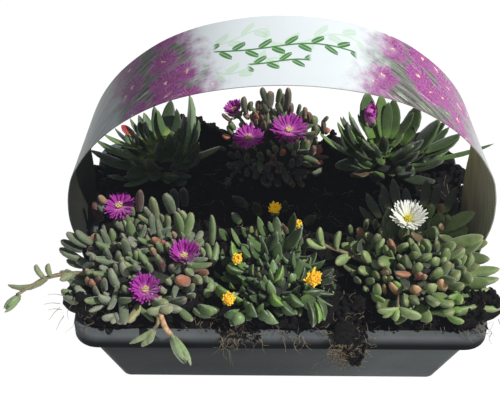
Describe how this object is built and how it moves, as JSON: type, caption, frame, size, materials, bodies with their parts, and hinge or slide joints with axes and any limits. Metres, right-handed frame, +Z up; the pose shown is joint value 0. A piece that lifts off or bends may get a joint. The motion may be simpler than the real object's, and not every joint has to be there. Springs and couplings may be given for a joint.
{
  "type": "tray of flowering trailing ice plants with a carry band",
  "caption": "Flowering trailing ice plants in a black divided plastic tray under an arched printed carry band, with magenta, white and yellow blooms.",
  "frame": {"origin": "middle of the tray's flat underside", "axes": "+X to the right along the tray's long side, +Y to the back row of plants, +Z up"},
  "size_m": [0.37, 0.2353, 0.2569],
  "materials": {
    "tray_plastic": "satin",
    "band_card": "satin",
    "soil": "matte",
    "leaf_frosted": "satin",
    "leaf_deep_green": "satin",
    "leaf_olive": "satin",
    "leaf_keeled": "satin",
    "leaf_bronze": "satin",
    "petal_magenta": "satin",
    "petal_white": "satin",
    "petal_yellow": "satin",
    "bloom_eye": "matte",
    "bloom_eye_yellow": "matte"
  },
  "bodies": {
    "root": {"tray": "tray_plastic", "carry_band": "band_card", "soil_front_left": "soil", "soil_front_centre": "soil", "soil_front_right": "soil", "soil_back_left": "soil", "soil_back_centre": "soil", "soil_back_right": "soil", "plant_front_left": "leaf_frosted", "plant_front_centre": "leaf_deep_green", "plant_front_right": "leaf_olive", "plant_back_left": "leaf_keeled", "plant_back_centre": "leaf_bronze", "plant_back_right": "leaf_keeled", "petals_magenta_left": "petal_magenta", "petals_magenta_cupped": "petal_magenta", "petals_magenta_front": "petal_magenta", "petals_magenta_middle": "petal_magenta", "petals_magenta_right": "petal_magenta", "petals_magenta_side": "petal_magenta", "petals_magenta_bud": "petal_magenta", "petals_white": "petal_white", "petals_yellow_left": "petal_yellow", "petals_yellow_front": "petal_yellow", "petals_yellow_right": "petal_yellow", "petals_yellow_back": "petal_yellow", "petals_yellow_bud": "petal_yellow", "centre_magenta_left": "bloom_eye", "centre_magenta_cupped": "bloom_eye", "centre_magenta_front": "bloom_eye", "centre_magenta_middle": "bloom_eye", "centre_magenta_right": "bloom_eye", "centre_magenta_side": "bloom_eye", "centre_white": "bloom_eye_yellow"}
  },
  "joints": []
}
